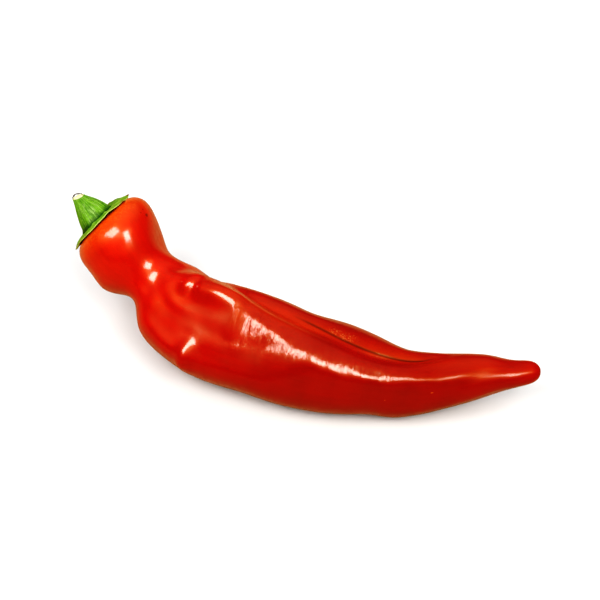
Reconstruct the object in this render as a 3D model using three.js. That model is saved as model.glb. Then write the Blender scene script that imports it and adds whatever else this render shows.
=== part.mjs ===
// Sweet pointed pepper, as picked, lying on its belly with its head and its tip raised.
//
// Units are millimetres, +Z is up and the surface it lies on is Z = 0. +X runs from the stem to the
// tip, -Y is the front, and the origin is the middle of the pepper's outline on that surface.
//
// Three solids: the red fruit, the green calyx that caps its crown, and the cut stem on the calyx.

import * as THREE from "three";

// ---------------------------------------------------------------- driving dimensions

const FRUIT_RINGS = 66;
const FRUIT_SIDES = 44;
const CALYX_SIDES = 60;
const STEM_SIDES = 40;

// The height of the surface that it lies on. The fruit's belly is flat where it presses on it.
const SURFACE = 0;

// The clearance between two pieces that touch.
const GAP = 0.3;

// The fruit's centre line from the crown to the tip: x, y, z.
const CENTRE_LINE = [
  [-93.6, 13.1, 43.9],
  [-81, 8.9, 35.5],
  [-69.8, 3.8, 28.8],
  [-58, -1.7, 22.8],
  [-45, -7.4, 20],
  [-26, -10.8, 19.3],
  [-5, -12.2, 18.8],
  [15, -11.3, 17],
  [35, -7.6, 14.4],
  [50, -3.4, 13.5],
  [62, 1.3, 14.6],
  [75, 6.5, 17],
  [85, 9.8, 18.4],
  [91.6, 11.6, 19],
];

// The fruit's girth: distance along the centre line, half width across, half height.
const GIRTH = [
  [3.5, 0, 0],
  [3.7, 7, 7],
  [4.3, 11, 11],
  [5.5, 14, 14],
  [9, 16.7, 16.7],
  [16, 17.4, 17.4],
  [23, 16.4, 16.4],
  [31, 12.9, 12.9],
  [38, 12.9, 12.7],
  [45, 16, 15.6],
  [55, 18.6, 17.8],
  [67, 20.4, 19],
  [82, 21, 19.6],
  [98, 20.6, 19],
  [114, 19, 17.6],
  [130, 16.6, 15.4],
  [146, 14, 13.2],
  [160, 11.4, 11],
  [172, 9.5, 9.5],
  [183, 7.4, 7.4],
  [192, 5.6, 5.6],
  [197, 4.1, 4.1],
  [199, 2.3, 2.3],
  [199.6, 0, 0],
];

// Long ridges and furrows. Each runs from one distance along the fruit to another. Its angle round the
// fruit, where 0 is the front, 90 the top and 180 the back, and its height, negative for a furrow, are
// given at even steps. The reach is the angle over which it dies away, the fade its ends' length.
const FOLDS = [
  // the furrow along the top, between the front lobe and the back lobe
  {
    from: 54,
    to: 174,
    fade: 34,
    reach: 13,
    around: [142, 124, 108, 97, 87, 99, 130],
    height: [-3, -3, -3, -3, -3, -3, -3],
  },
  // the ridge of the front lobe
  {
    from: 38,
    to: 182,
    fade: 20,
    reach: 17,
    around: [102, 101, 84, 61, 53, 56, 62],
    height: [3, 4.2, 2.4, 1.7, 1.7, 1.7, 1.7],
  },
  // the broad face of the shoulder, under that ridge
  { from: 36, to: 112, fade: 22, reach: 30, around: [60, 56, 48, 36], height: [-3, -3.6, -2.6, -2] },
  // the flatter face along the rest of the front
  { from: 84, to: 172, fade: 26, reach: 26, around: [20, 14, 12, 16], height: [-1, -1, -1, -1] },
  // the shallow furrow under the tail
  { from: 138, to: 192, fade: 16, reach: 18, around: [322, 326, 334], height: [-0.7, -0.7, -0.7] },
  // the back lobe's underside, which lies on the surface too
  { from: 44, to: 150, fade: 40, reach: 20, around: [249, 248, 247], height: [2, 2, 2] },
  // the furrow along the back
  { from: 44, to: 168, fade: 40, reach: 15, around: [214, 206, 200, 204], height: [-1.8, -1.8, -1.8, -1.8] },
];

// Local swells and hollows: distance along, angle round, reach along, reach round, height.
const SWELLS = [
  [27, 301, 7, 45, 3.4], // the head's full underside
  [24.5, 136, 7, 40, -3.4], // the back of the neck
  [36, 312, 5, 50, -2.1], // the hollow under the neck
  [40, 140, 6, 45, 1.4], // the top of the shoulder
  [56, 138, 7, 30, -1.2], // the dip behind the shoulder
  [48, 318, 8, 45, 1.2], // the shoulder's underside
  [52, 48, 7, 20, -1], // the hollow at the front of the shoulder
  [60, 8, 7, 18, 1.2], // the knuckle below it
  [104, 142, 9, 20, -0.9], // the back lobe's narrow start
  [126, 145, 12, 25, 1], // and its full middle
  [146, 140, 9, 30, -1.2], // and its end
  [88, 320, 13, 34, -1.1], // the flatter places of the front underside
  [135, 320, 8, 34, -1.1],
  [146, 312, 13, 40, 1.1], // the full underside where the tail lifts
  [189, 105, 6, 60, -2.3], // the dip before the tip
];

// The calyx, a thin cap on the crown: radius and height above the crown, for its underside from the
// middle to the rim, and for its top from the rim to the middle.
const CALYX_UNDERSIDE = [
  [2.5, 0.35],
  [5, 0.25],
  [7.5, 0.05],
  [10, -0.2],
  [12, -0.6],
  [13.3, -1.1],
  [14, -1.25],
];
const CALYX_TOP = [
  [14.3, -0.9],
  [14, -0.5],
  [13, -0.05],
  [11.5, 0.45],
  [9.5, 0.85],
  [7, 1.1],
  [3.5, 1.2],
];

// The rim's teeth: angle round, reach round, how far out and how far up each tip stands.
const TEETH = [
  [36, 22, 0.5, -0.3],
  [76, 18, -0.2, 0.8],
  [104, 14, 0.4, 0.3],
  [147, 9, 0.6, 1],
  [196, 14, 0.8, 0.4],
  [243, 16, 0.7, 0.3],
  [286, 13, 0.8, 0.2],
  [327, 9, 0.9, 0.1],
];

// The stem: how far up from the calyx, and its radius there.
const STEM_PROFILE = [
  [0, 7],
  [0.9, 6.8],
  [2.4, 6.2],
  [4.2, 5.4],
  [6.2, 4.5],
  [8.2, 3.5],
  [10, 2.7],
  [11.3, 2.3],
  [11.7, 2],
];
const STEM_LEAN = [-0.04, 0.12]; // backwards and upwards, for each unit of its length
const STEM_OFFSET = [-1.2, -0.75]; // its foot's place on the calyx, backwards and upwards
const STEM_RIBS = [
  [5, 0.06, 20],
  [11, 0.03, 70],
]; // how many, how deep as a share of the radius, and at what angle

// ---------------------------------------------------------------- curves

// A natural cubic spline through rows of numbers, one row at each knot. Returns knot => row.
function splineThrough(knots, rows) {
  const last = knots.length - 1;
  const bends = rows[0].map((_, column) => {
    const bend = new Array(last + 1).fill(0);
    const upper = new Array(last + 1).fill(0);
    for (let i = 1; i < last; i++) {
      const before = knots[i] - knots[i - 1];
      const after = knots[i + 1] - knots[i];
      const slope =
        (rows[i + 1][column] - rows[i][column]) / after -
        (rows[i][column] - rows[i - 1][column]) / before;
      const pivot = 2 * (before + after) - before * upper[i - 1];
      upper[i] = after / pivot;
      bend[i] = (6 * slope - before * bend[i - 1]) / pivot;
    }
    for (let i = last - 1; i > 0; i--) bend[i] -= upper[i] * bend[i + 1];
    return bend;
  });
  return (at) => {
    let i = 0;
    while (i < last - 1 && at > knots[i + 1]) i++;
    const span = knots[i + 1] - knots[i];
    const b = (at - knots[i]) / span;
    const a = 1 - b;
    return rows[0].map(
      (_, column) =>
        a * rows[i][column] +
        b * rows[i + 1][column] +
        (((a ** 3 - a) * bends[column][i] + (b ** 3 - b) * bends[column][i + 1]) * span ** 2) / 6,
    );
  };
}

// Distances along a row of points, from the first.
function distances(rows) {
  const found = [0];
  for (let i = 1; i < rows.length; i++) {
    found.push(found[i - 1] + Math.hypot(...rows[i].map((value, k) => value - rows[i - 1][k])));
  }
  return found;
}

// ---------------------------------------------------------------- the fruit

const centreDistances = distances(CENTRE_LINE);
const centreAt = splineThrough(centreDistances, CENTRE_LINE);
const girthDistances = distances(GIRTH);
const crownAlong = GIRTH[0][0];
const girthAt = splineThrough(girthDistances, GIRTH);

// The centre line's point, its direction, and the level and upward directions square to it.
function frameAt(along) {
  const step = 0.5;
  const point = new THREE.Vector3(...centreAt(along));
  const ahead = new THREE.Vector3(...centreAt(along + step));
  const behind = new THREE.Vector3(...centreAt(along - step));
  const forward = ahead.sub(behind).normalize();
  const back = new THREE.Vector3(0, 0, 1).cross(forward).normalize();
  const up = forward.clone().cross(back);
  return { point, forward, back, up };
}

// A bell curve: 1 in the middle, dying away over the reach.
const bell = (offset, reach) => Math.exp(-((offset / reach) ** 2));

// The angle from one direction round the fruit to another, between -180 and 180 degrees.
const turnBetween = (from, to) => THREE.MathUtils.euclideanModulo(to - from + 180, 360) - 180;

const foldPaths = FOLDS.map(({ from, to, around, height }) =>
  splineThrough(
    around.map((_, i) => from + ((to - from) * i) / (around.length - 1)),
    around.map((angle, i) => [angle, height[i]]),
  ),
);

// How far the skin stands out from the plain girth.
function relief(along, around) {
  let height = 0;
  FOLDS.forEach((fold, i) => {
    if (along <= fold.from || along >= fold.to) return;
    const ends =
      THREE.MathUtils.smootherstep(along, fold.from, fold.from + fold.fade) *
      THREE.MathUtils.smootherstep(-along, -fold.to, -fold.to + fold.fade);
    const [middle, tall] = foldPaths[i](along);
    height += tall * ends * bell(turnBetween(middle, around), fold.reach);
  });
  for (const [middle, angle, reachAlong, reachRound, swell] of SWELLS) {
    height += swell * bell(along - middle, reachAlong) * bell(turnBetween(angle, around), reachRound);
  }
  return height;
}

// A point of the fruit's skin. around is 0 at the front and 90 on top, in degrees.
function skinAt(share, around) {
  const [along, halfWidth, halfHeight] = girthAt(share * girthDistances.at(-1));
  const { point, back, up } = frameAt(along);
  const angle = THREE.MathUtils.degToRad(around);
  const swell = halfWidth > 0 ? 1 + relief(along, around) / halfWidth : 1;
  return point
    .addScaledVector(back, -halfWidth * swell * Math.cos(angle))
    .addScaledVector(up, halfHeight * swell * Math.sin(angle));
}

// A closed surface of rings between two end points. rings is a list of equally long lists of points.
function closedSurface(first, rings, last) {
  const sides = rings[0].length;
  const points = [first, ...rings.flat(), last];
  const index = [];
  const at = (ring, side) => 1 + ring * sides + (side % sides);
  for (let side = 0; side < sides; side++) {
    index.push(0, at(0, side), at(0, side + 1));
    index.push(points.length - 1, at(rings.length - 1, side + 1), at(rings.length - 1, side));
    for (let ring = 0; ring < rings.length - 1; ring++) {
      index.push(at(ring, side), at(ring + 1, side + 1), at(ring, side + 1));
      index.push(at(ring, side), at(ring + 1, side), at(ring + 1, side + 1));
    }
  }
  const geometry = new THREE.BufferGeometry().setFromPoints(points);
  geometry.setIndex(index);
  geometry.computeVertexNormals();
  return geometry;
}

function fruitGeometry() {
  const rings = [];
  for (let ring = 1; ring < FRUIT_RINGS; ring++) {
    const sides = Array.from({ length: FRUIT_SIDES }, (_, side) =>
      skinAt(ring / FRUIT_RINGS, (360 * side) / FRUIT_SIDES),
    );
    for (const point of sides) point.z = Math.max(point.z, SURFACE);
    rings.push(sides);
  }
  return closedSurface(skinAt(0, 0), rings, skinAt(1, 0));
}

// ---------------------------------------------------------------- the calyx and the stem

// The calyx's own frame: its middle on the crown, its axis away from the fruit.
const crown = frameAt(crownAlong);
const crownAxis = crown.forward.clone().negate();

// A point at a height above the crown, at a radius and an angle round the calyx in degrees.
function onCrown(radius, around, height) {
  const angle = THREE.MathUtils.degToRad(around);
  return crown.point
    .clone()
    .addScaledVector(crownAxis, height)
    .addScaledVector(crown.back, -radius * Math.cos(angle))
    .addScaledVector(crown.up, radius * Math.sin(angle));
}

function calyxGeometry() {
  const rimRadius = CALYX_TOP[0][0];
  const rings = [...CALYX_UNDERSIDE, ...CALYX_TOP].map(([radius, height]) =>
    Array.from({ length: CALYX_SIDES }, (_, side) => {
      const around = (360 * side) / CALYX_SIDES;
      const share = (radius / rimRadius) ** 6;
      let out = 0;
      let lift = 0;
      for (const [angle, reach, tipOut, tipUp] of TEETH) {
        out += share * tipOut * bell(turnBetween(angle, around), reach);
        lift += share * tipUp * bell(turnBetween(angle, around), reach);
      }
      return onCrown(radius + out, around, height + lift);
    }),
  );
  const underside = onCrown(0, 0, CALYX_UNDERSIDE[0][1]);
  const top = onCrown(0, 0, CALYX_TOP.at(-1)[1]);
  return closedSurface(top, rings.reverse(), underside);
}

function stemGeometry() {
  const [leanBack, leanUp] = STEM_LEAN;
  const [footBack, footUp] = STEM_OFFSET;
  const axis = crownAxis
    .clone()
    .addScaledVector(crown.back, leanBack)
    .addScaledVector(crown.up, leanUp)
    .normalize();
  const foot = crown.point
    .clone()
    .addScaledVector(crownAxis, CALYX_TOP.at(-1)[1] + GAP)
    .addScaledVector(crown.back, footBack)
    .addScaledVector(crown.up, footUp);
  const rings = STEM_PROFILE.map(([height, radius]) =>
    Array.from({ length: STEM_SIDES }, (_, side) => {
      const around = (360 * side) / STEM_SIDES;
      const angle = THREE.MathUtils.degToRad(around);
      let ribbed = radius;
      for (const [count, depth, turn] of STEM_RIBS) {
        ribbed *= 1 + depth * Math.cos(THREE.MathUtils.degToRad(count * (around - turn)));
      }
      return foot
        .clone()
        .addScaledVector(axis, height)
        .addScaledVector(crown.back, -ribbed * Math.cos(angle))
        .addScaledVector(crown.up, ribbed * Math.sin(angle));
    }),
  );
  const tip = foot.clone().addScaledVector(axis, STEM_PROFILE.at(-1)[0]);
  return closedSurface(tip, rings.reverse(), foot);
}

// ---------------------------------------------------------------- the pepper

function piece(name, geometry, color, roughness) {
  const mesh = new THREE.Mesh(
    geometry,
    new THREE.MeshStandardMaterial({ color, roughness, metalness: 0 }),
  );
  mesh.name = name;
  return mesh;
}

const pieces = new THREE.Group();
pieces.add(piece("fruit", fruitGeometry(), 0xb80f05, 0.25));
pieces.add(piece("calyx", calyxGeometry(), 0x3f8a2a, 0.5));
pieces.add(piece("stem", stemGeometry(), 0x5fae35, 0.5));

// The pieces move so that the middle of their outline comes to the origin.
const middle = new THREE.Box3().setFromObject(pieces, true).getCenter(new THREE.Vector3());
pieces.position.set(-middle.x, -middle.y, 0);

const pepper = new THREE.Group();
pepper.add(pieces);

export default pepper;
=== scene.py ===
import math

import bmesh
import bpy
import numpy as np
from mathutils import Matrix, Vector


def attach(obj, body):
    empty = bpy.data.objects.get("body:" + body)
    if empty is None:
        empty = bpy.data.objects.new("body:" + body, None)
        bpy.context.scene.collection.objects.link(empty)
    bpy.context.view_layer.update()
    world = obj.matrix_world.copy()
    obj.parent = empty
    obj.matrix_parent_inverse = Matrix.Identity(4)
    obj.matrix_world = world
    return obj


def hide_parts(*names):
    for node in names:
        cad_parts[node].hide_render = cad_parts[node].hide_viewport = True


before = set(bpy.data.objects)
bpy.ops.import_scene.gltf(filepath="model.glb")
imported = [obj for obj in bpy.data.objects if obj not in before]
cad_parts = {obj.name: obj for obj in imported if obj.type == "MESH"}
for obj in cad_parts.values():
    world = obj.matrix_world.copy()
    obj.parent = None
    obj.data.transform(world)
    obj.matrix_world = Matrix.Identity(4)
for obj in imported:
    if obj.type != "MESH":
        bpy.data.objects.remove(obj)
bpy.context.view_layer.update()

# The looks of a sweet pointed pepper: its skin, its calyx and its cut stem, in a plain pale studio.
#
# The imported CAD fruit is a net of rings, each with the same number of sides. This script finds the rings
# again, passes smooth curves through them, and adds what the CAD leaves out: small swells and hollows, the
# crease between the lobes, the wrinkles, dents and scars. Places on the skin are given as the distance along
# the fruit from its crown, in millimetres, and the angle round it in degrees: 0 is the front, 90 the top and
# 180 the back. The calyx and the stem are built on the crown that the rings give.

MM = 0.001

# ------------ driving values

# The fruit's length along its middle, in millimetres.
FRUIT_LENGTH = 196
# The fine skin's rings and sides, and where they stand closer together: from, to, and how much closer.
SKIN_RINGS = 430
SKIN_SIDES = 216
CLOSE_RINGS = (72, 150, 0.6)
CLOSE_SIDES = (15, 130, 0.6)
# Where the skin is narrower than this radius, in millimetres, at its two poles, its relief dies away.
POLE_RADIUS = 2
# How many of the fine rings, from the crown on, the calyx may stand over.
CROWN_RINGS = 60

# The crease between the two lobes: distance along and angle round at each point, its depth and half width
# in millimetres, and the length over which each end fades.
CREASE_PATH = [
    (92, 115), (103, 109), (111, 104), (120, 98), (128, 94), (138, 93), (146, 97), (154, 107), (161, 121)
]
CREASE_DEPTH = 0.1
CREASE_HALF_WIDTH = 0.36
CREASE_FADE = 14

# Local swells and hollows of the skin: along, around, reach along, reach round, height in millimetres. Some
# of them are set so that the highlights fall as they do in the photo.
SWELLS = [
    # the head: its full shoulder under the calyx, and its front
    (5, 140, 6, 45, 1.2),
    (12.5, 76, 6, 20, 0.9),
    # the neck, with flatter places on its front
    (38.5, 86, 6.5, 14, 1.2),
    (36, 44, 6, 16, -0.6),
    (43, 56, 5, 14, -0.8),
    (47, 90, 5, 12, 0.5),
    # the end of the neck, and the rim and hollows between the neck and the shoulder
    (48.5, 48, 7, 20, 0.8),
    (51, 70, 8, 16, 1.2),
    (49, 28, 9, 18, -1.5),
    (53, 74, 6, 8, -0.5),
    (51.5, 90, 3.2, 9, 1.1),
    # the shoulder's broad face, the hollow below it, and its top
    (74, 68, 18, 18, 1.0),
    (76, 24, 18, 18, -1.2),
    (66, 94, 10, 7, 1.2),
    # the knuckle low on the front, and the hollows round it
    (63.5, 4, 2.8, 21, 2.2),
    (62, 35, 4, 9, -0.4),
    (70, 18, 5, 14, -0.5),
    (57, 22, 5, 14, -0.5),
    # a low swell that half fills the valley in front of the crease
    (130, 92, 16, 7, 0.5),
    # a slight bend of the front ridge
    (108, 62, 4, 14, 0.7),
]

# Long swells and hollows, level between two places: where they rise from and to, where they fall from and
# to, the angle round, the reach round and the height.
LEDGES = [
    # the shoulder's top ridge, and past it the flatter facets along the front ridge
    (54, 60, 75, 81, 90, 9, 1.5),
    (78, 83, 96, 107, 70, 18, -1.05),
    (90, 100, 112, 122, 63, 12, -0.7),
    (112, 122, 136, 146, 57, 12, -0.6),
    (150, 158, 180, 189, 60, 11, -0.15),
]

# Wrinkled places: along, around, reach along, reach round, strength.
WRINKLE_PLACES = [
    (85, 76, 6, 16, 1.0),
    (95, 66, 8, 15, 1.1),
    (81, 46, 5, 10, 0.7),
    (112, 58, 14, 12, 0.6),
    (132, 57, 16, 12, 0.5),
    (150, 56, 14, 14, 0.45),
]
# The heights, in millimetres, of their dents, folds and lines at full strength, and of faint waves all over.
DENT_HEIGHT = 0.12
FOLD_HEIGHT = 0.085
LINE_HEIGHT = 0.035
WAVE_HEIGHT = 0.03

# Rough scars beside the crease, small dark specks and pale spots: along, around, reach along, reach round.
SCARS = [(119, 105, 4.5, 5), (113, 108, 2.5, 3)]
SCAR_HEIGHT = 0.06
SPECKS = [
    (12, 117, 0.8, 3.4),
    (9.5, 116, 0.3, 1.5),
    (15, 122, 0.4, 1.6),
    (10, 109, 0.3, 1.2),
    (74, 130, 0.4, 1.0),
    (71, 121, 0.3, 0.9),
    (88, 47, 0.3, 0.7),
    (118, 61, 0.3, 0.7),
    (104, 300, 0.5, 1.2),
    (60, 215, 0.5, 1.4),
    (140, 190, 0.4, 1.2),
]
SPOTS = [
    (154, 30, 0.5, 1.6), (137, 15, 0.3, 0.9), (32, 78, 0.35, 1.1), (96, 230, 0.5, 1.2), (45, 160, 0.4, 1.2)
]

# Where the skin's gloss is dull: along, around, reach along, reach round, strength. These and the places
# of painted light below are set from the photo's highlights and colours.
DULL_PLACES = [
    (106, 107, 20, 10, 0.6),
    (132, 100, 22, 15, 1.2),
    (152, 98, 14, 16, 1.0),
    (140, 58, 9, 16, 0.3),
    (153, 58, 9, 22, 0.85),
    (175, 56, 14, 28, 1.1),
    (195, 56, 6, 60, 1.1),
    (50, 73, 6.5, 11, 1.0),
    (45, 46, 4, 11, 1.3),
    (78, 75, 2.4, 9, 1.5),
    (5, 57, 5, 20, 0.4),
]

# Where painted light from above makes the skin lighter and more orange along its top, set in the same way.
PAINTED_LIGHT_PLACES = [
    (76, 106, 14, 16, 0.6),
    (98, 98, 14, 13, 0.5),
    (142, 100, 16, 16, 0.2),
    (166, 86, 18, 20, 0.15),
]

# The calyx: how many sides it has, and how many rows of points its top has inside and near its rim.
CALYX_SIDES = 288
CALYX_ROWS = 26
RIM_ROWS = 14
# In millimetres, the radius of its rim between the teeth, the height of its top over the crown's point and
# its thickness, from the middle out to the rim, which these two count as 14, and the least gap under it.
CALYX_RADIUS = 13.6
CALYX_TOP = [(0, 1.2), (5, 1.25), (7.5, 1.05), (9.5, 0.75), (11.5, 0.25), (13, -0.35), (14, -0.8)]
CALYX_THICKNESS = [(0, 1.1), (7, 1.0), (11, 0.75), (13, 0.5), (14, 0.36)]
CALYX_GAP = 0.12
# How uneven its rim and its top are, and how high and wide its veins are, in millimetres.
RIM_WOBBLE = 0.22
CALYX_WOBBLE = 0.05
VEIN_HEIGHT = 0.22
VEIN_HALF_WIDTH = 0.7
# How high its rim is lifted: angle and height.
RIM_LIFT = [
    (0, 0.2), (36, 0.45), (56, 0.7), (76, 0.85), (100, 0.45), (124, 0.4), (147, 0.7), (165, 1.8),
    (185, 3.3), (205, 4.3), (222, 4.0), (240, 2.4), (262, 0.9), (300, 0.0), (330, 0.0),
]
# Its teeth: angle, half width in degrees, reach past the rim, how far the tip curls up, and how brown it is.
REACH, CURL, BROWN = 2, 3, 4
TEETH = [
    (36, 20, 0.7, -0.2, 0.1),
    (76, 15, 0.5, 0.2, 0.2),
    (108, 13, 0.8, 0.1, 0.5),
    (157, 15, 1.1, 0.3, 0.8),
    (214, 12, 1.4, 0.6, 0.8),
    (248, 15, 1.2, 0.2, 0.3),
    (286, 13, 0.9, -0.1, 0.4),
    (322, 10, 2.0, -0.5, 0.3),
]

# The stem: its sides, and the rows of points up its foot and above that. In millimetres, the height of its
# foot over the crown, and its radius at each height over the foot.
STEM_SIDES = 240
FOOT_ROWS = 22
STEM_ROWS = 70
STEM_FOOT = 0.9
STEM_PROFILE = [
    (0, 8.0), (0.5, 7.5), (1.2, 7.15), (2.6, 6.75), (4.4, 6.15), (6.4, 5.3), (8.6, 4.2), (10.6, 3.1),
    (12.2, 2.35),
]
STEM_LENGTH = STEM_PROFILE[-1][0]
# Where the foot stands, and how far the stem leans for each millimetre of its length: back and up.
STEM_OFFSET = (-1.2, -0.75)
STEM_LEAN = (-0.01, 0.12)
# Its ribs: how many go round, how deep as a share of the radius, and the angle of the first. Fine flutes
# run between them.
STEM_RIBS = [(5, 0.045, 20), (9, 0.02, 70), (16, 0.012, 5)]
FLUTE_HEIGHT = 0.09
# How far the foot spreads out, evenly and along the ribs.
FOOT_SPREAD = 0.35
FOOT_RIBS = 4
# The slant of the cut end, and the side where it is lowest.
CUT_SLOPE = 0.48
CUT_LOW_SIDE = 99
# The rings of the cut face, as shares of its radius, and the face's height at such shares.
CUT_RINGS = [0.985, 0.94, 0.86, 0.74, 0.6, 0.46, 0.32, 0.18, 0.08]
CUT_DIP = [(0, -0.3), (0.7, -0.2), (0.9, 0.02), (0.97, 0.06), (1, 0.02)]
CUT_ROUGHNESS = 0.04

# The fibre on the cut: its rings, the angle where it starts, how far round it goes, its distance from the
# cut's middle and how far it bows out from there, the height of its arch, and its thickness.
FIBRE_RINGS = 40
FIBRE_START = 322
FIBRE_TURN = -165
FIBRE_RADIUS = 2.05
FIBRE_BOW = 0.25
FIBRE_ARCH = 0.75
FIBRE_THICKNESS = 0.16


# ------------ shape helpers

def bell(offset, reach):
    """1 in the middle, dying away over the reach."""
    return np.exp(-((offset / reach) ** 2))


def turn_between(start, end):
    """The angle from one direction round the fruit to another, between -180 and 180 degrees."""
    return (end - start + 180) % 360 - 180


def smooth_step(values, start, end):
    """0 at the start and 1 at the end, with a smooth rise between them."""
    share = np.clip((values - start) / (end - start), 0, 1)
    return share * share * (3 - 2 * share)


def spline_rows(rows, at):
    """Rows of points read between their whole numbers on a natural cubic spline."""
    count = len(rows)
    flat = rows.reshape(count, -1)
    system = np.eye(count)
    bends = np.zeros_like(flat)
    for i in range(1, count - 1):
        system[i, i - 1 : i + 2] = (1, 4, 1)
        bends[i] = 6 * (flat[i + 1] - 2 * flat[i] + flat[i - 1])
    bends = np.linalg.solve(system, bends)
    low = np.clip(np.floor(at).astype(int), 0, count - 2)
    b = (at - low)[:, None]
    a = 1 - b
    fine = a * flat[low] + b * flat[low + 1]
    fine += ((a**3 - a) * bends[low] + (b**3 - b) * bends[low + 1]) / 6
    return fine.reshape(len(at), *rows.shape[1:])


def spline_through(points, at):
    """A natural cubic spline through pairs of a place and a value."""
    knots, values = np.array(points, float).T
    count = len(knots)
    spans = np.diff(knots)
    slopes = np.diff(values) / spans
    system = np.eye(count)
    bends = np.zeros(count)
    for i in range(1, count - 1):
        system[i, i - 1 : i + 2] = (spans[i - 1], 2 * (spans[i - 1] + spans[i]), spans[i])
        bends[i] = 6 * (slopes[i] - slopes[i - 1])
    bends = np.linalg.solve(system, bends)
    at = np.clip(at, knots[0], knots[-1])
    low = np.clip(np.searchsorted(knots, at) - 1, 0, count - 2)
    span = spans[low]
    b = (at - knots[low]) / span
    a = 1 - b
    cubic = ((a**3 - a) * bends[low] + (b**3 - b) * bends[low + 1]) * span**2 / 6
    return a * values[low] + b * values[low + 1] + cubic


def spline_round(points, angles):
    """A smooth closed curve through pairs of an angle and a value."""
    turns = [(angle + 360 * turn, value) for turn in (-1, 0, 1) for angle, value in points]
    return spline_through(turns, np.asarray(angles) % 360)


def uneven(start, end, count, closer):
    """Places from start to end that stand closer together from low to high, by that share."""
    low, high, share = closer
    fade = (end - start) / 30
    fine = np.linspace(start, end, 3000)
    crowd = 1 + share * (smooth_step(fine, low - fade, low) - smooth_step(fine, high, high + fade))
    reached = np.cumsum(crowd) - crowd[0]
    return np.interp(np.linspace(0, reached[-1], count), reached, fine)


def rows_to_mesh(name, first, rings, last):
    """A closed smooth mesh of rings of points between two end points."""
    count, sides = rings.shape[:2]
    points = np.concatenate([first[None], rings.reshape(-1, 3), last[None]])
    side = np.arange(sides)
    following = (side + 1) % sides
    faces = [(0, 1 + b, 1 + a) for a, b in zip(side, following)]
    for ring in range(count - 1):
        low, high = 1 + ring * sides, 1 + (ring + 1) * sides
        faces += [(low + a, low + b, high + b, high + a) for a, b in zip(side, following)]
    end = 1 + (count - 1) * sides
    faces += [(end + a, end + b, len(points) - 1) for a, b in zip(side, following)]
    faces = [tuple(int(i) for i in face) for face in faces]
    mesh = bpy.data.meshes.new(name)
    mesh.from_pydata(points.tolist(), [], faces)
    shell = bmesh.new()
    shell.from_mesh(mesh)
    bmesh.ops.recalc_face_normals(shell, faces=shell.faces)
    shell.to_mesh(mesh)
    shell.free()
    mesh.shade_smooth()
    made = bpy.data.objects.new(name, mesh)
    bpy.context.scene.collection.objects.link(made)
    return made


def add_attribute(piece, name, first, rings, last):
    """A number for each point of a mesh that rows_to_mesh made."""
    values = np.concatenate([[first], rings.reshape(-1), [last]]).astype(np.float32)
    attribute = piece.data.attributes.new(name, "FLOAT", "POINT")
    attribute.data.foreach_set("value", values)


def add_grain(piece, along, around):
    """Coordinates for patterns that follow the piece: the side as a point on a circle, and the way along."""
    around = np.radians(around)
    along, around = np.broadcast_arrays(along, around)
    rings = np.stack([np.cos(around), np.sin(around), along], axis=2).reshape(-1, 3)
    values = np.concatenate([[(0, 0, along[0, 0])], rings, [(0, 0, along[-1, 0])]]).astype(np.float32)
    attribute = piece.data.attributes.new("grain", "FLOAT_VECTOR", "POINT")
    attribute.data.foreach_set("vector", values.reshape(-1))


def soft_noise(seed, shape, reach_rows, reach_columns):
    """Smooth noise of unit spread on a grid whose columns close on themselves."""
    noise = np.random.default_rng(seed).standard_normal(shape)
    rows = np.fft.fftfreq(shape[0])[:, None]
    columns = np.fft.rfftfreq(shape[1])[None, :]
    keep = np.exp(-2 * (math.pi * rows * reach_rows) ** 2 - 2 * (math.pi * columns * reach_columns) ** 2)
    noise = np.fft.irfft2(np.fft.rfft2(noise) * keep, s=shape)
    noise -= noise.mean()
    return noise / noise.std()


# ------------ the CAD fruit's rings

def cad_rings():
    """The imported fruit's rings from the crown to the tip, as points[ring, side], with the crown's and the
    tip's own point as a first and a last ring. Side 0 is the front, and the next sides go over the top."""
    net = bmesh.new()
    net.from_mesh(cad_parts["fruit"].data)
    bmesh.ops.remove_doubles(net, verts=net.verts, dist=0.001 * MM)
    poles = sorted(net.verts, key=lambda v: -len(v.link_edges))[:2]
    crown, tip = sorted(poles, key=lambda v: v.co.x)
    ring_of = {crown: 0}
    rings = [[crown]]
    while rings[-1] != [tip]:
        found = {e.other_vert(v) for v in rings[-1] for e in v.link_edges} - ring_of.keys()
        ring_of.update(dict.fromkeys(found, len(rings)))
        rings.append(sorted(found, key=lambda v: v.index))
    first = rings[1]
    middle = sum((v.co for v in first), Vector()) / len(first)
    front = min((v for v in first if v.co.y < middle.y), key=lambda v: abs(v.co.z - middle.z))
    ordered = [front]
    while len(ordered) < len(first):
        beside = [e.other_vert(ordered[-1]) for e in ordered[-1].link_edges]
        beside = [v for v in beside if ring_of[v] == 1 and v not in ordered]
        ordered.append(max(beside, key=lambda v: v.co.z) if len(ordered) == 1 else beside[0])
    table = [[crown.co[:]] * len(first), [v.co[:] for v in ordered]]
    for ring in range(2, len(rings) - 1):
        # A vertex touches two neighbours in the ring before it, and lies beside the later of the two.
        place = {v: i for i, v in enumerate(ordered)}
        later = {}
        for v in rings[ring]:
            a, b = sorted(place[e.other_vert(v)] for e in v.link_edges if e.other_vert(v) in place)
            later[a if b - a > 1 else b] = v
        ordered = [later[i] for i in range(len(first))]
        table.append([v.co[:] for v in ordered])
    table.append([tip.co[:]] * len(first))
    net.free()
    return np.array(table)


def read_round(rings, angles):
    """Rings of evenly spaced points, read at other angles round them."""
    sides = rings.shape[1]
    waves = np.fft.rfft(rings, axis=1) / sides
    order = np.arange(waves.shape[1])
    turn = np.exp(1j * np.radians(angles)[:, None] * order[None, :])
    turn[:, 1:-1] *= 2
    return np.einsum("sw,rwc->rsc", turn, waves).real


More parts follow.
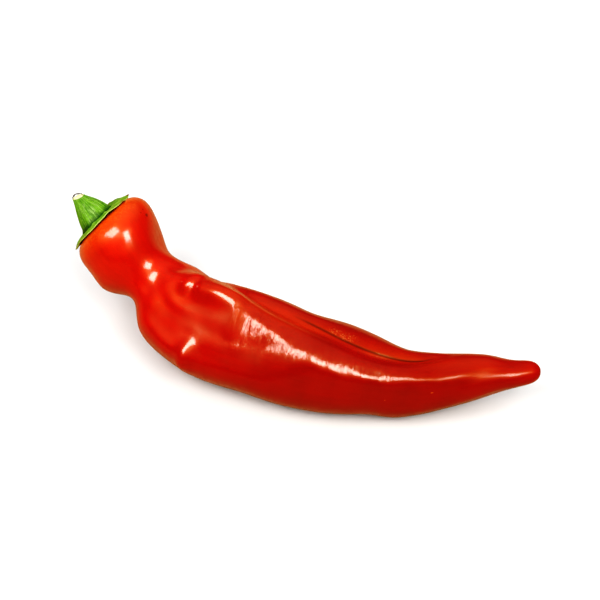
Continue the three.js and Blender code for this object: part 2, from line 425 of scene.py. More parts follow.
def fine_skin(rings, angles):
    """Rings on smooth curves, spaced along the fruit and read at these angles, and how far along each is."""
    sides = rings.shape[1]
    # Past each pole the curves go down the other side, so that the poles come out round.
    before = np.roll(rings[2:0:-1], sides // 2, axis=1)
    after = np.roll(rings[-2:-4:-1], sides // 2, axis=1)
    extended = np.concatenate([before, rings, after])
    # Their length is measured in eight steps from ring to ring.
    places = np.linspace(2, len(rings) + 1, 8 * len(rings))
    dense = spline_rows(extended, places)
    steps = np.linalg.norm(np.diff(dense, axis=0), axis=2).mean(axis=1)
    reached = np.concatenate([[0], np.cumsum(steps)]) / MM
    spaced = np.interp(uneven(0, reached[-1], SKIN_RINGS + 2, CLOSE_RINGS), reached, places)
    fine = read_round(spline_rows(extended, spaced), angles)
    middles = fine.mean(axis=1)
    along = np.concatenate([[0], np.cumsum(np.linalg.norm(np.diff(middles, axis=0), axis=1))]) / MM
    return fine, along


def normals_of(points):
    """Unit normals of a grid of rings, outward."""
    down = np.gradient(points, axis=0)
    across = np.roll(points, -1, axis=1) - np.roll(points, 1, axis=1)
    normals = np.cross(down, across)
    outward = points - points.mean(axis=1, keepdims=True)
    if (normals * outward).sum() < 0:
        normals = -normals
    return normals / np.maximum(np.linalg.norm(normals, axis=2, keepdims=True), 1e-12)


# ------------ the fruit

def at_places(places, along, around):
    """The sum of bells on the skin: along, around, reach along, reach round, height."""
    total = np.zeros(np.broadcast_shapes(along.shape, around.shape))
    for middle, angle, reach_along, reach_round, height in places:
        total += height * bell(along - middle, reach_along) * bell(turn_between(angle, around), reach_round)
    return total


def at_ledges(places, along, around):
    """The sum of long ledges on the skin."""
    total = np.zeros(np.broadcast_shapes(along.shape, around.shape))
    for rise, top, fall, foot, angle, reach_round, height in places:
        level = smooth_step(along, rise, top) - smooth_step(along, fall, foot)
        total += height * level * bell(turn_between(angle, around), reach_round)
    return total


def marks(places, along, around):
    """How strongly small marks show, from 0 to 1."""
    return np.minimum(1, at_places([(*place, 1) for place in places], along, around))


def crease_shape(along, around, radius):
    """How deep the crease between the lobes is, from 0 to 1, on a skin of that radius in millimetres."""
    start, end = CREASE_PATH[0][0], CREASE_PATH[-1][0]
    middle = spline_through(CREASE_PATH, along)
    offset = np.radians(turn_between(middle, around)) * radius
    ends = smooth_step(along, start, start + CREASE_FADE) - smooth_step(along, end - CREASE_FADE, end)
    return ends * bell(offset, CREASE_HALF_WIDTH)


def wrinkle_shape(along, around, shape):
    """Shallow dents, folds that run round the fruit and fine lines between them, in millimetres."""
    strength = at_places(WRINKLE_PLACES, along, around)
    dents = DENT_HEIGHT * soft_noise(3, shape, 5, 4)
    folds = FOLD_HEIGHT * soft_noise(4, shape, 1.6, 5)
    lines = LINE_HEIGHT * soft_noise(5, shape, 0.75, 4)
    waves = WAVE_HEIGHT * soft_noise(6, shape, 9, 7)
    return strength * (dents + folds + lines) + waves


def make_fruit(skin, along_rings, angles):
    """The skin with its relief, and how strongly each of its looks shows at each point."""
    along = along_rings[:, None]
    around = angles[None, :]
    radius = np.linalg.norm(skin - skin.mean(axis=1, keepdims=True), axis=2) / MM
    crease = crease_shape(along, around, radius)
    scar = marks(SCARS, along, around)
    relief = at_places(SWELLS, along, around) + at_ledges(LEDGES, along, around)
    relief += wrinkle_shape(along, around, radius.shape)
    relief += SCAR_HEIGHT * scar * soft_noise(7, radius.shape, 0.7, 0.7)
    relief -= CREASE_DEPTH * crease
    relief *= np.minimum(1, radius / POLE_RADIUS)
    points = skin + normals_of(skin) * relief[:, :, None] * MM
    # Nothing goes under the surface that it lies on.
    points[:, :, 2] = np.maximum(points[:, :, 2], 0)
    fruit = rows_to_mesh("pepper_skin", points[0, 0], points[1:-1], points[-1, 0])
    add_attribute(fruit, "along", along_rings[0], np.broadcast_to(along, radius.shape)[1:-1], along_rings[-1])
    looks = {
        "crease": crease,
        "dull": np.minimum(1, at_places(DULL_PLACES, along, around)),
        # the painted light along the top
        "painted_light": np.minimum(1, at_places(PAINTED_LIGHT_PLACES, along, around)),
        "scar": scar,
        "speck": marks(SPECKS, along, around),
        "spot": marks(SPOTS, along, around),
        "wrinkled": np.minimum(1, at_places(WRINKLE_PLACES, along, around)),
    }
    for name, amount in looks.items():
        add_attribute(fruit, name, 0, amount[1:-1], 0)
    add_grain(fruit, along[1:-1], around)
    return fruit


# ------------ the crown

def crown_directions(rings):
    """The crown's point, and its directions out along the stem, back and up."""
    quarter = rings.shape[1] // 4
    # The third ring out from the crown's point is wide enough to give them.
    near = rings[3]
    back = near[2 * quarter] - near[0]
    up = near[quarter] - near[3 * quarter]
    outward = np.cross(back, up)
    outward /= np.linalg.norm(outward)
    if outward @ (rings[0, 0] - near.mean(axis=0)) < 0:
        outward = -outward
    back -= outward * (back @ outward)
    back /= np.linalg.norm(back)
    up -= outward * (up @ outward) + back * (up @ back)
    up /= np.linalg.norm(up)
    return rings[0, 0], outward, back, up


def on_crown(crown, radius, angle, height, shift=(0, 0)):
    """Points by their distance from the crown's axis, their angle round it and their height over it."""
    point, outward, back, up = crown
    angle = np.radians(angle)
    to_back = (shift[0] - radius * np.cos(angle)) * MM
    to_top = (shift[1] + radius * np.sin(angle)) * MM
    reach = [np.asarray(amount)[..., None] for amount in (height * MM, to_back, to_top)]
    return point + reach[0] * outward + reach[1] * back + reach[2] * up


def skin_height(crown, skin, radius, angle):
    """How high the skin stands over the crown at these radii and angles."""
    point, outward, back, up = crown
    near = (skin[:CROWN_RINGS] - point) / MM
    heights = near @ outward
    reach = np.hypot(near @ back, near @ up)
    column = np.round(np.asarray(angle) % 360 / 360 * skin.shape[1]).astype(int) % skin.shape[1]
    found = np.empty(np.broadcast_shapes(radius.shape, angle.shape))
    radius, column = np.broadcast_arrays(radius, column)
    for side in range(found.shape[1]):
        line = column[0, side]
        widest = reach[:, line].argmax() + 1
        found[:, side] = np.interp(radius[:, side], reach[:widest, line], heights[:widest, line])
    return found


def tooth_shape(around, column):
    """A value of the teeth, such as their reach, peaked at each tooth's tip."""
    total = np.zeros_like(around)
    for tooth in TEETH:
        share = np.clip(1 - np.abs(turn_between(tooth[0], around)) / tooth[1], 0, 1)
        total += tooth[column] * share**1.3 * (1.6 - 0.6 * share)
    return total


def make_calyx(crown, skin):
    """A thin cap that follows the skin under it, with a lifted rim, teeth and veins."""
    around = np.arange(CALYX_SIDES)[None, :] * 360 / CALYX_SIDES
    outward = np.concatenate([np.linspace(0.2, 0.9, CALYX_ROWS), np.linspace(0.92, 1, RIM_ROWS)])[:, None]
    wobble = soft_noise(11, (1, CALYX_SIDES), 1, 2.5)
    rim = CALYX_RADIUS + tooth_shape(around, REACH) + RIM_WOBBLE * wobble
    lift = spline_round(RIM_LIFT, around)
    curl = tooth_shape(around, CURL)

    radius = outward * rim
    place = outward * CALYX_TOP[-1][0]
    raised = lift * smooth_step(outward, 0.42, 1.05) ** 1.2 + curl * outward**14
    top = spline_through(CALYX_TOP, place) + raised
    vein = np.zeros_like(radius)
    for angle, *_ in TEETH:
        offset = np.radians(turn_between(angle, around)) * radius
        vein = np.maximum(vein, bell(offset, VEIN_HALF_WIDTH * (1.5 - outward)))
    vein *= smooth_step(outward, 0.3, 0.6) * (1 - 0.8 * smooth_step(outward, 0.75, 1))
    top += VEIN_HEIGHT * vein
    top += CALYX_WOBBLE * soft_noise(12, radius.shape, 3, 4) * smooth_step(outward, 0.4, 0.7)
    thickness = spline_through(CALYX_THICKNESS, place)
    floor = skin_height(crown, skin, radius, around) + CALYX_GAP
    under = np.maximum(top - thickness, floor)
    top = np.maximum(top, under + 0.7 * thickness)

    # The rim is rounded: its rows swing from the top to the underside past the edge.
    swing = np.radians(np.array([45, 90, 135]))[:, None]
    half = (top[-1:] - under[-1:]) / 2
    edge_radius = radius[-1:] + 0.8 * half * np.sin(swing)
    edge_height = under[-1:] + half + half * np.cos(swing)

    radii = np.concatenate([radius, edge_radius, radius[::-1]])
    heights = np.concatenate([top, edge_height, under[::-1]])
    points = on_crown(crown, radii, around, heights)
    middle = on_crown(crown, 0.0, 0.0, np.array([top[0].mean(), under[0].mean()]))
    calyx = rows_to_mesh("pepper_calyx", middle[0], points, middle[1])

    # How strongly each look shows, from 0 to 1, on the top, round the rim and then on the underside.
    rows = np.concatenate([outward, np.ones((len(swing), 1)), outward[::-1]]) + 0 * around
    browned = np.clip(tooth_shape(around, BROWN), 0, 1)
    brown = browned * smooth_step(rows * rim, CALYX_RADIUS - 0.5, CALYX_RADIUS + 0.6)
    below = np.concatenate([0 * radius, 0.5 + 0 * edge_radius, 1 + 0 * radius])
    veins = np.concatenate([vein, 0 * edge_radius, 0 * vein])
    lifted = smooth_step(rows, 0.45, 0.8) * smooth_step(lift, 1.2, 3.2)
    for name, amount in {"rim": rows, "brown": brown, "vein": veins, "lifted": lifted}.items():
        add_attribute(calyx, name, 0, amount, 0)
    add_attribute(calyx, "below", 0, below, 1)
    add_grain(calyx, rows, around)
    return calyx


def stem_points(crown, radius, angle, height):
    """Points of the stem, by their place round its own leaning line and their height over its foot."""
    back = STEM_OFFSET[0] + STEM_LEAN[0] * height
    up = STEM_OFFSET[1] + STEM_LEAN[1] * height
    return on_crown(crown, radius, angle, STEM_FOOT + height, (back, up))


def make_stem(crown):
    """The ribbed stem, from its spread foot to its slanted cut."""
    around = np.arange(STEM_SIDES)[None, :] * 360 / STEM_SIDES
    share = np.concatenate([np.linspace(0, 0.2, FOOT_ROWS)[:-1], np.linspace(0.2, 1, STEM_ROWS)])[:, None]
    height = share * STEM_LENGTH
    radius = spline_through(STEM_PROFILE, height)
    flute = soft_noise(21, (len(share), STEM_SIDES), 26, 1.5)
    broad = sum(depth * np.cos(np.radians(count * (around - first))) for count, depth, first in STEM_RIBS)
    foot = 1 - smooth_step(share, 0, 0.16)
    radius = radius * (1 + broad * (1 - 0.35 * share)) + FLUTE_HEIGHT * flute
    radius += foot * (FOOT_SPREAD + FOOT_RIBS * broad)
    slant = CUT_SLOPE * radius * np.cos(np.radians(around - CUT_LOW_SIDE)) * share**4
    side = stem_points(crown, radius, around, height - slant)

    # The cut: a rounded edge, and a face that dips a little to the pith.
    across = np.array(CUT_RINGS)[:, None]
    face_radius = radius[-1:] * across
    dip = np.interp(across, *zip(*CUT_DIP))
    rough = CUT_ROUGHNESS * soft_noise(22, (len(across), STEM_SIDES), 1, 3) * (1 - across)
    face_slant = CUT_SLOPE * face_radius * np.cos(np.radians(around - CUT_LOW_SIDE))
    face = stem_points(crown, face_radius, around, STEM_LENGTH - face_slant + dip + rough)

    points = np.concatenate([side, face])
    first = stem_points(crown, 0.0, 0.0, np.array([0.0]))[0]
    last = stem_points(crown, 0.0, 0.0, np.array([STEM_LENGTH + CUT_DIP[0][1]]))[0]
    stem = rows_to_mesh("pepper_stem", first, points, last)
    ribs = np.concatenate([broad / 0.08 + 0.45 * flute, 0 * face_radius])
    add_attribute(stem, "height", 0, np.concatenate([share + 0 * around, 1 + 0 * face_radius]), 1)
    add_attribute(stem, "rib", 0, ribs, 0)
    add_attribute(stem, "cut", 0, np.concatenate([0 * radius, 1 - across + 0 * around]), 1)
    add_grain(stem, np.concatenate([share, 1 + 0 * across]), around)
    return stem


def make_fibre(crown):
    """A dried shred of skin that stands along the far edge of the cut."""
    share = np.linspace(0, 1, FIBRE_RINGS)
    angle = FIBRE_START + FIBRE_TURN * share
    radius = FIBRE_RADIUS + FIBRE_BOW * np.sin(share * math.pi)
    arch = FIBRE_ARCH * np.sin(share * math.pi) ** 0.7 + 0.1 * np.sin(share * 17)
    slant = CUT_SLOPE * radius * np.cos(np.radians(angle - CUT_LOW_SIDE))
    path = stem_points(crown, radius, angle, STEM_LENGTH - slant + arch - 0.05)
    thickness = FIBRE_THICKNESS * (np.sin(share * math.pi) ** 0.4 + 0.25) * (1 + 0.25 * np.sin(share * 23))
    outward = crown[1]
    turns = np.radians(np.arange(0, 360, 30))[:, None]
    rings = []
    for place, ahead, size in zip(path, np.gradient(path, axis=0), thickness):
        across = np.cross(ahead, outward)
        across /= np.linalg.norm(across)
        # It is half as tall again as it is thick.
        rings.append(place + MM * size * (np.cos(turns) * across + 1.5 * np.sin(turns) * outward))
    return rows_to_mesh("stem_fibre", path[0], np.array(rings), path[-1])


# ------------ colours

# Red, green and blue, linear, from 0 to 1. A list goes with places from 0 to 1 on whatever it colours.
# The skin from the crown to the tip: orange red under the calyx, then red, then a deep red.
SKIN_COLOURS = [
    (0.0, (0.70, 0.085, 0.002)),
    (0.03, (0.63, 0.040, 0.002)),
    (0.06, (0.54, 0.013, 0.001)),
    (0.13, (0.49, 0.008, 0.001)),
    (0.24, (0.44, 0.005, 0.0005)),
    (0.34, (0.35, 0.002, 0.0005)),
    (0.50, (0.265, 0.0015, 0.0005)),
    (0.80, (0.25, 0.0015, 0.0005)),
    (1.0, (0.32, 0.002, 0.0005)),
]
# Painted light from above: the lighter, more orange skin along the top.
PAINTED_LIGHT_SKIN = (0.60, 0.045, 0.004)
PITTED_SKIN = (0.75, 0.16, 0.03)
SCAR_COLOURS = [(0.4, (0.26, 0.015, 0.006)), (0.65, (0.46, 0.075, 0.03))]
SPECK_COLOUR = (0.16, 0.006, 0.001)
SPOT_COLOUR = (0.75, 0.16, 0.02)
# How much of its colour the skin keeps deep in the crease, where shade is painted.
CREASE_PAINTED_SHADE = 0.25
# The reflections in the skin are warm.
SKIN_REFLECTION = (1.0, 0.45, 0.14, 1)

# The calyx: its flesh, the rays and veins on it, where its rim is lifted, painted shade round the stem's
# foot, its underside, its thin rim and its dried tips.
CALYX_GREENS = [(0.35, (0.06, 0.22, 0.008)), (0.68, (0.15, 0.38, 0.025))]
RAY_GREEN = (0.33, 0.58, 0.10)
VEIN_GREEN = (0.30, 0.56, 0.09)
LIFTED_GREEN = (0.06, 0.20, 0.02)
CALYX_MIDDLE_PAINTED_SHADE = (0.008, 0.05, 0.002)
UNDERSIDE_GREEN = (0.30, 0.50, 0.12)
RIM_GREEN = (0.50, 0.62, 0.18)
TIP_BROWNS = [(0.35, (0.05, 0.018, 0.006)), (0.65, (0.22, 0.09, 0.03))]
CALYX_REFLECTION = (0.8, 1.0, 0.6, 1)

# The stem: from its furrows to the crests of its ribs, its light streaks, its dark furrows, its dark foot,
# partly its own colour and partly painted shade where it meets the calyx, and the cut from its edge to the
# pith.
STEM_GREENS = [
    (0.0, (0.015, 0.10, 0.003)),
    (0.35, (0.055, 0.21, 0.006)),
    (0.65, (0.11, 0.32, 0.012)),
    (1.0, (0.19, 0.44, 0.03)),
]
STREAK_GREEN = (0.34, 0.56, 0.16)
FURROW_GREEN = (0.02, 0.14, 0.004)
FOOT_GREEN_AND_PAINTED_SHADE = (0.004, 0.040, 0.001)
CUT_COLOURS = [
    (0.0, (0.30, 0.42, 0.06)),
    (0.10, (0.62, 0.66, 0.16)),
    (0.22, (0.80, 0.80, 0.42)),
    (0.5, (0.90, 0.88, 0.62)),
    (0.85, (0.84, 0.80, 0.52)),
]
STEM_REFLECTION = (0.85, 1.0, 0.6, 1)
FIBRE_BROWNS = [(0.3, (0.010, 0.008, 0.005)), (0.7, (0.07, 0.045, 0.02))]


# ------------ materials

class Nodes:
    """A node tree, and short ways to add nodes to it. Noise scales are lumps in a metre on a position, and
    lumps in a unit of the grain."""

    def __init__(self, tree):
        self.tree = tree
        tree.nodes.clear()

    def link(self, source, target):
        self.tree.links.new(source, target)

    def put(self, socket, value):
        """A value from another node, or a plain one."""
        if isinstance(value, bpy.types.NodeSocket):
            self.link(value, socket)
        else:
            socket.default_value = value

    def fill(self, node, inputs):
        """Values for a node's inputs, by name, with _ for a space."""
        for name, value in inputs.items():
            self.put(node.inputs[name.replace("_", " ")], value)
        return node

    def add(self, kind, **inputs):
        return self.fill(self.tree.nodes.new(kind), inputs)

    def attribute(self, name, output="Fac"):
        node = self.add("ShaderNodeAttribute")
        node.attribute_name = name
        return node.outputs[output]

    def position(self):
        return self.add("ShaderNodeTexCoord").outputs["Object"]

    def scaled(self, vector, scale):
        return self.add("ShaderNodeMapping", Vector=vector, Scale=scale).outputs["Vector"]

    def noise(self, vector, scale, detail, distortion=0.0):
        node = self.add("ShaderNodeTexNoise", Vector=vector, Scale=scale, Detail=detail)
        return self.fill(node, {"Distortion": distortion}).outputs["Fac"]

    def math(self, operation, first, second, kind="ShaderNodeMath"):
        node = self.add(kind)
        node.operation = operation
        self.put(node.inputs[0], first)
        self.put(node.inputs[1], second)
        return node.outputs["Value"]

    def spread(self, value, low, high, to_low=0.0, to_high=1.0):
        """A value moved from one range to another, and kept inside it."""
        node = self.add("ShaderNodeMapRange", Value=value, From_Min=low, From_Max=high)
        return self.fill(node, {"To Min": to_low, "To Max": to_high}).outputs["Result"]

    def vary(self, noise, low, high):
        """Noise, which is mostly between 0.3 and 0.7, spread over a range."""
        return self.spread(noise, 0.3, 0.7, low, high)

    def ramp(self, value, stops):
        """The colours, or the plain amounts, at places from 0 to 1."""
        node = self.add("ShaderNodeValToRGB", Fac=value)
        while len(node.color_ramp.elements) < len(stops):
            node.color_ramp.elements.new(0.5)
        for element, (place, colour) in zip(node.color_ramp.elements, stops):
            element.position = place
            element.color = (*colour, 1) if isinstance(colour, tuple) else (colour, colour, colour, 1)
        return node.outputs["Color"]

    def mix(self, share, first, second, blend="MIX"):
        node = self.add("ShaderNodeMix")
        node.data_type = "RGBA"
        node.blend_type = blend
        self.put(node.inputs[0], share)
        for socket, colour in ((node.inputs[6], first), (node.inputs[7], second)):
            self.put(socket, colour if isinstance(colour, bpy.types.NodeSocket) else (*colour, 1))
        return node.outputs[2]

    def shade(self, colour, amount):
        """A colour multiplied by an amount."""
        grey = self.add("ShaderNodeCombineColor", Red=amount, Green=amount, Blue=amount)
        return self.mix(1, colour, grey.outputs["Color"], "MULTIPLY")

    def bump(self, height, distance, strength, under=None):
        """A bump of that many millimetres, over another one or on the plain surface."""
        node = self.add("ShaderNodeBump", Height=height, Distance=distance * MM, Strength=strength)
        if under is not None:
            self.link(under, node.inputs["Normal"])
        return node.outputs["Normal"]


class Paint(Nodes):
    """A material with one Principled shader."""

    def __init__(self, name):
        self.material = bpy.data.materials.new(name)
        self.material.use_nodes = True
        super().__init__(self.material.node_tree)
        self.shader = self.add("ShaderNodeBsdfPrincipled")
        self.add("ShaderNodeOutputMaterial", Surface=self.shader.outputs["BSDF"])

    def set(self, **values):
        self.fill(self.shader, values)


def skin_material():
    paint = Paint("pepper_skin")
    position = paint.position()
    grain = paint.attribute("grain", "Vector")
    along = paint.attribute("along")

    # The broad colour, with painted light along its top, clouds, streaks along the fruit and fine pores in
    # it.
    colour = paint.ramp(paint.spread(along, 0, FRUIT_LENGTH), SKIN_COLOURS)
    colour = paint.mix(paint.attribute("painted_light"), colour, PAINTED_LIGHT_SKIN)
    clouds = paint.noise(position, 110, 3)
    colour = paint.shade(colour, paint.vary(clouds, 0.90, 1.08))
    streaks = paint.noise(paint.scaled(grain, (5, 5, 0.02)), 2.2, 3)
    colour = paint.shade(colour, paint.vary(streaks, 0.95, 1.05))
    pores = paint.noise(position, 2600, 1)
    colour = paint.shade(colour, paint.spread(pores, 0.35, 0.7, 1.0, 0.90))

    # Light pits close to the calyx, and painted shade in the crease.
    pits = paint.spread(paint.noise(position, 1100, 3), 0.5, 0.62)
    pitted = paint.math("MULTIPLY", paint.spread(along, 8, 3), pits)
    colour = paint.mix(paint.math("MULTIPLY", pitted, 0.35), colour, PITTED_SKIN)
    colour = paint.shade(colour, paint.spread(paint.attribute("crease"), 0.1, 0.9, 1.0, CREASE_PAINTED_SHADE))

    # Crumbly scars, dark specks and pale spots.
    crumbs = paint.noise(position, 1700, 3)
    scar = paint.math("MULTIPLY", paint.attribute("scar"), paint.spread(crumbs, 0.42, 0.62))
    scar = paint.spread(scar, 0.2, 0.8)
    colour = paint.mix(scar, colour, paint.ramp(crumbs, SCAR_COLOURS))
    colour = paint.mix(paint.spread(paint.attribute("speck"), 0.25, 0.8), colour, SPECK_COLOUR)
    colour = paint.mix(paint.spread(paint.attribute("spot"), 0.3, 0.8), colour, SPOT_COLOUR)

    # A clear coat of wax, which is thin where the skin is dull or scarred.
    dull = paint.attribute("dull")
    roughness = paint.vary(paint.noise(position, 320, 3), 0.33, 0.45)
    roughness = paint.math("ADD", roughness, paint.math("MULTIPLY", dull, 0.1))
    coat = paint.spread(paint.math("ADD", dull, scar), 0, 1, 1.0, 0.06)

    # Bumps: fine folds in the wrinkled places, the skin's grain, the scars and the pits.
    folds = paint.noise(paint.scaled(grain, (4, 4, 1.1)), 1.5, 3, 0.4)
    normal = paint.bump(paint.math("MULTIPLY", folds, paint.attribute("wrinkled")), 0.25, 0.7)
    normal = paint.bump(paint.noise(position, 900, 2), 0.02, 0.5, normal)
    normal = paint.bump(paint.math("MULTIPLY", crumbs, scar), 0.15, 0.8, normal)
    normal = paint.bump(pitted, 0.05, 0.7, normal)
    paint.set(
        Base_Color=colour,
        Roughness=roughness,
        Specular_Tint=SKIN_REFLECTION,
        Specular_IOR_Level=0.48,
        IOR=1.45,
        Coat_Weight=coat,
        Coat_Roughness=0.15,
        Coat_IOR=1.45,
        Normal=normal,
        Coat_Normal=normal,
    )
    return paint.material


def calyx_material():
    paint = Paint("pepper_calyx")
    position = paint.position()
    grain = paint.attribute("grain", "Vector")
    rim = paint.attribute("rim")

    # Mottled green with rays, veins, a darker lifted rim, painted shade round the stem's foot, a pale
    # underside and edge.
    colour = paint.ramp(paint.noise(position, 420, 4), CALYX_GREENS)
    rays = paint.spread(paint.noise(paint.scaled(grain, (8, 8, 1)), 2.4, 2), 0.5, 0.68)
    colour = paint.mix(paint.math("MULTIPLY", rays, 0.35), colour, RAY_GREEN)
    colour = paint.mix(paint.math("MULTIPLY", paint.attribute("vein"), 0.55), colour, VEIN_GREEN)
    colour = paint.mix(paint.math("MULTIPLY", paint.attribute("lifted"), 0.6), colour, LIFTED_GREEN)
    colour = paint.mix(paint.spread(rim, 0.62, 0.48, 0, 0.75), colour, CALYX_MIDDLE_PAINTED_SHADE)
    colour = paint.mix(paint.spread(paint.attribute("below"), 0, 1, 0, 0.5), colour, UNDERSIDE_GREEN)
    colour = paint.mix(paint.spread(rim, 0.985, 1.0, 0, 0.55), colour, RIM_GREEN)

    # The dried tips of its teeth.
    crumbs = paint.noise(position, 1500, 3)
    brown = paint.spread(paint.attribute("brown"), 0.12, 0.5)
    colour = paint.mix(brown, colour, paint.ramp(crumbs, TIP_BROWNS))

    # Bumps: its crumbly grain and its rays.
    normal = paint.bump(crumbs, 0.05, 0.5)
    normal = paint.bump(paint.noise(paint.scaled(grain, (6, 6, 1.5)), 3, 3), 0.12, 0.5, normal)
    paint.set(
        Base_Color=colour,
        Roughness=paint.vary(crumbs, 0.42, 0.6),
        Specular_Tint=CALYX_REFLECTION,
        Normal=normal,
    )
    return paint.material


def stem_material():
    paint = Paint("pepper_stem")
    position = paint.position()
    grain = paint.attribute("grain", "Vector")

    # Green ribs, with light streaks, dark furrows and flecks.
    colour = paint.ramp(paint.spread(paint.attribute("rib"), -1.6, 1.6), STEM_GREENS)
    streaks = paint.noise(paint.scaled(grain, (12, 12, 2.2)), 1.8, 3, 0.4)
    colour = paint.mix(paint.spread(streaks, 0.53, 0.66, 0, 0.7), colour, STREAK_GREEN)
    furrows = paint.noise(paint.scaled(grain, (11, 11, 1.6)), 2.3, 3, 0.3)
    colour = paint.mix(paint.spread(furrows, 0.40, 0.30, 0, 0.6), colour, FURROW_GREEN)
    flecks = paint.noise(position, 1500, 3)
    colour = paint.shade(colour, paint.spread(flecks, 0.35, 0.7, 0.72, 1.2))

    # The dark foot, whose edge follows the furrows, is partly its own green and partly painted shade at the
    # calyx.
    foot = paint.math("ADD", paint.attribute("height"), paint.vary(furrows, 0.06, -0.06))
    colour = paint.mix(paint.spread(foot, 0.22, 0.06, 0, 0.95), colour, FOOT_GREEN_AND_PAINTED_SHADE)

    # The cut, with uneven rings.
    cut = paint.attribute("cut")
    uneven_cut = paint.math("ADD", cut, paint.spread(paint.noise(position, 1800, 2), 0, 1, -0.08, 0.08))
    colour = paint.mix(paint.spread(cut, 0.005, 0.03), colour, paint.ramp(uneven_cut, CUT_COLOURS))

    normal = paint.bump(streaks, 0.16, 0.6)
    normal = paint.bump(furrows, 0.12, 0.5, normal)
    normal = paint.bump(paint.noise(position, 1600, 3), 0.05, 0.4, normal)
    paint.set(
        Base_Color=colour,
        Roughness=paint.vary(furrows, 0.50, 0.66),
        Specular_Tint=STEM_REFLECTION,
        Specular_IOR_Level=0.35,
        Normal=normal,
    )
    return paint.material


def fibre_material():
    paint = Paint("stem_fibre")
    crumbs = paint.noise(paint.position(), 1900, 3)
    paint.set(
        Base_Color=paint.ramp(crumbs, FIBRE_BROWNS),
        Roughness=paint.vary(crumbs, 0.6, 0.85),
        Normal=paint.bump(crumbs, 0.1, 0.6),
    )
    return paint.material


# ------------ the studio

# The camera looks from where the photo was taken. Azimuths and elevations are in degrees, from the pepper:
# azimuth 0 is the front and 90 is the tip's side. The target is in millimetres, and distances in metres.
CAMERA_AZIMUTH = 19.05
CAMERA_ELEVATION = 47
CAMERA_DISTANCE = 0.7
CAMERA_TARGET = (-2.84, 18.76, 20.0)
CAMERA_LENS = 105
SENSOR_WIDTH = 36

# The two soft boxes: name, azimuth, elevation, width in degrees, and their brightness in the gloss and for
# the light that they give.
SOFT_BOXES = [
    ("right_box", 50, 51, 24, 22, 12),
    ("left_box", -35, 54, 26, 20, 11),
]
# The fill behind the pepper: azimuth, elevation, width in degrees and brightness.
BACK_FILL = (190, 45, 55, 1.0)
BOX_DISTANCE = 1.3
BOX_COLOUR = (1.0, 0.97, 0.91)

# The floor's size and how far under the pepper it lies, in metres.
FLOOR_SIZE = 6
FLOOR_DROP = 0.0001
# Its colour to the camera, and to all other rays. The light that it sends up at the pepper is dim and warm,
# so that the red stays deep all the way down.
FLOOR_COLOUR = (0.76, 0.80, 0.85)
FLOOR_FROM_BELOW = (0.42, 0.21, 0.11)
# How far from the pepper, in metres, it starts to fade into white for the camera, and where it is white.
FLOOR_FADE_START = 0.25
FLOOR_FADE_END = 0.9

# How bright the room is for matt surfaces and in the gloss, by height: 0 is the horizon and below it, and 1
# is overhead. It is white for the first, and this colour in the gloss.
MATT_ROOM = [(0.0, 0.10), (0.60, 0.18), (0.85, 0.8), (1.0, 1.2)]
GLOSSED_ROOM = [(0.0, 0.10), (0.35, 0.15), (0.50, 0.6), (0.80, 0.8), (0.92, 1.0), (1.0, 1.0)]
GLOSSED_ROOM_COLOUR = (1.0, 0.70, 0.45)
# The band of lit wall: how high it is, the side that it is on, how it fades to the sides, and its light.
WALL_BAND = [(0.64, 0.0), (0.70, 1.0), (0.85, 1.0), (0.90, 0.0)]
WALL_AZIMUTH = 20
WALL_SIDES = [(0.0, 0.0), (0.25, 1.0)]
WALL_COLOUR = (1.0, 0.72, 0.42)
WALL_BRIGHTNESS = 2.0
WHITE = (1.0, 1.0, 1.0)

# The tone curve between black and white, from scene brightness to shown brightness.
TONES = [(0.045, 0.012), (0.10, 0.058), (0.17, 0.135), (0.35, 0.335)]


def away(azimuth, elevation):
    """A direction from the pepper."""
    a, e = math.radians(azimuth), math.radians(elevation)
    return Vector((math.sin(a) * math.cos(e), -math.cos(a) * math.cos(e), math.sin(e)))


def place_facing(thing, azimuth, elevation, distance, target=(0, 0, 0)):
    """A camera or light stands that way and that far from its target, and faces it."""
    back = away(azimuth, elevation)
    bpy.context.scene.collection.objects.link(thing)
    thing.location = Vector(target) * MM + back * distance
    thing.rotation_mode = "QUATERNION"
    thing.rotation_quaternion = back.to_track_quat("Z", "Y")


def make_camera():
    data = bpy.data.cameras.new("camera")
    data.lens = CAMERA_LENS
    data.sensor_width = SENSOR_WIDTH
    camera = bpy.data.objects.new("camera", data)
    place_facing(camera, CAMERA_AZIMUTH, CAMERA_ELEVATION, CAMERA_DISTANCE, CAMERA_TARGET)
    bpy.context.scene.camera = camera


def make_light(name, azimuth, elevation, angle, brightness):
    """A square soft box that faces the pepper and looks angle degrees wide from there."""
    data = bpy.data.lights.new(name, "AREA")
    data.shape = "SQUARE"
    data.size = 2 * BOX_DISTANCE * math.tan(math.radians(angle) / 2)
    data.color = BOX_COLOUR
    # Cycles spreads an area light's power over its surface: brightness is what a mirror would show.
    data.energy = brightness * data.size**2 * math.pi
    light = bpy.data.objects.new(name, data)
    place_facing(light, azimuth, elevation, BOX_DISTANCE)
    return light


def make_soft_boxes():
    """Each box is two lights in one place: one that shows in the gloss, and a softer one that lights. A wide
    dim fill behind the pepper doesn't show in the gloss."""
    fill = make_light("back_fill", *BACK_FILL)
    fill.visible_glossy = False
    for name, azimuth, elevation, angle, shine, glow in SOFT_BOXES:
        shown = make_light(name + "_shine", azimuth, elevation, angle, shine)
        shown.visible_diffuse = False
        lit = make_light(name + "_glow", azimuth, elevation, angle, glow)
        lit.visible_glossy = False


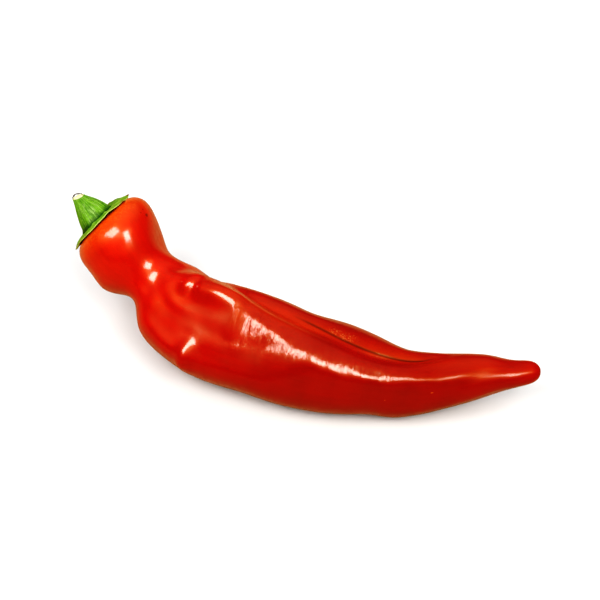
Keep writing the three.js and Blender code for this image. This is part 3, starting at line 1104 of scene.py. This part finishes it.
def make_floor():
    bpy.ops.mesh.primitive_plane_add(size=FLOOR_SIZE, location=(0, 0, -FLOOR_DROP))
    floor = bpy.context.object
    floor.name = "floor"
    paint = Paint("floor")
    seen = paint.add("ShaderNodeLightPath").outputs["Is Camera Ray"]
    # Away from the pepper the floor brightens into the white behind it, so that no horizon shows.
    distance = paint.math("DISTANCE", paint.position(), (0, 0, 0), "ShaderNodeVectorMath")
    far = paint.spread(distance, FLOOR_FADE_START, FLOOR_FADE_END)
    paint.set(
        Base_Color=paint.mix(seen, FLOOR_FROM_BELOW, FLOOR_COLOUR),
        Roughness=0.9,
        Specular_IOR_Level=0.1,
        Emission_Color=(*WHITE, 1),
        Emission_Strength=paint.math("MULTIPLY", far, seen),
    )
    floor.data.materials.append(paint.material)


def make_world():
    """A dim room with a bright ceiling and a band of lit wall on the side of the soft boxes. It is warm in
    the gloss, and the camera sees plain white behind the floor."""
    world = bpy.data.worlds.new("studio")
    bpy.context.scene.world = world
    world.use_nodes = True
    nodes = Nodes(world.node_tree)

    def background(colour, strength):
        made = nodes.add("ShaderNodeBackground", Color=(*colour, 1), Strength=strength)
        return made.outputs["Background"]

    def join(kind, *sources):
        made = nodes.add(kind)
        for source, socket in zip(sources, made.inputs):
            nodes.link(source, socket)
        return made.outputs["Shader"]

    direction = nodes.add("ShaderNodeTexCoord").outputs["Generated"]
    height = nodes.add("ShaderNodeSeparateXYZ", Vector=direction).outputs["Z"]
    facing = nodes.math("DOT_PRODUCT", direction, away(WALL_AZIMUTH, 0), "ShaderNodeVectorMath")
    wall = nodes.math("MULTIPLY", nodes.ramp(height, WALL_BAND), nodes.ramp(facing, WALL_SIDES))
    wall = nodes.math("MULTIPLY", wall, WALL_BRIGHTNESS)
    rays = nodes.add("ShaderNodeLightPath").outputs
    matt = background(WHITE, nodes.ramp(height, MATT_ROOM))
    glossed = background(GLOSSED_ROOM_COLOUR, nodes.ramp(height, GLOSSED_ROOM))
    room = join("ShaderNodeMixShader", rays["Is Glossy Ray"], matt, glossed)
    lit = join("ShaderNodeAddShader", room, background(WALL_COLOUR, wall))
    shown = join("ShaderNodeMixShader", rays["Is Camera Ray"], lit, background(WHITE, 1.0))
    nodes.add("ShaderNodeOutputWorld", Surface=shown)


def set_contrast():
    """Dark tones are shown darker, as a camera set for contrast shows them. Light tones hardly change."""
    view = bpy.context.scene.view_settings
    view.view_transform = "Standard"
    view.use_curve_mapping = True
    # The fourth curve is the one for red, green and blue together.
    curve = view.curve_mapping.curves[3]
    for place, value in TONES:
        curve.points.new(place, value)
    view.curve_mapping.update()


# ------------ making it all

def finish_piece(piece, material, node):
    """The piece gets its material and its body, and the CAD node that it stands for, if any, is hidden."""
    piece.data.materials.append(material)
    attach(piece, "root")
    if node:
        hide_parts(node)


rings = cad_rings()
crown = crown_directions(rings)
angles = uneven(0, 360, SKIN_SIDES + 1, CLOSE_SIDES)[:-1]
skin, along_rings = fine_skin(rings, angles)
finish_piece(make_fruit(skin, along_rings, angles), skin_material(), "fruit")
# The calyx is fitted to the smooth skin, read at even angles.
even_skin, _ = fine_skin(rings, np.arange(SKIN_SIDES) * 360 / SKIN_SIDES)
finish_piece(make_calyx(crown, even_skin), calyx_material(), "calyx")
finish_piece(make_stem(crown), stem_material(), "stem")
finish_piece(make_fibre(crown), fibre_material(), None)

make_camera()
make_floor()
make_world()
make_soft_boxes()
set_contrast()
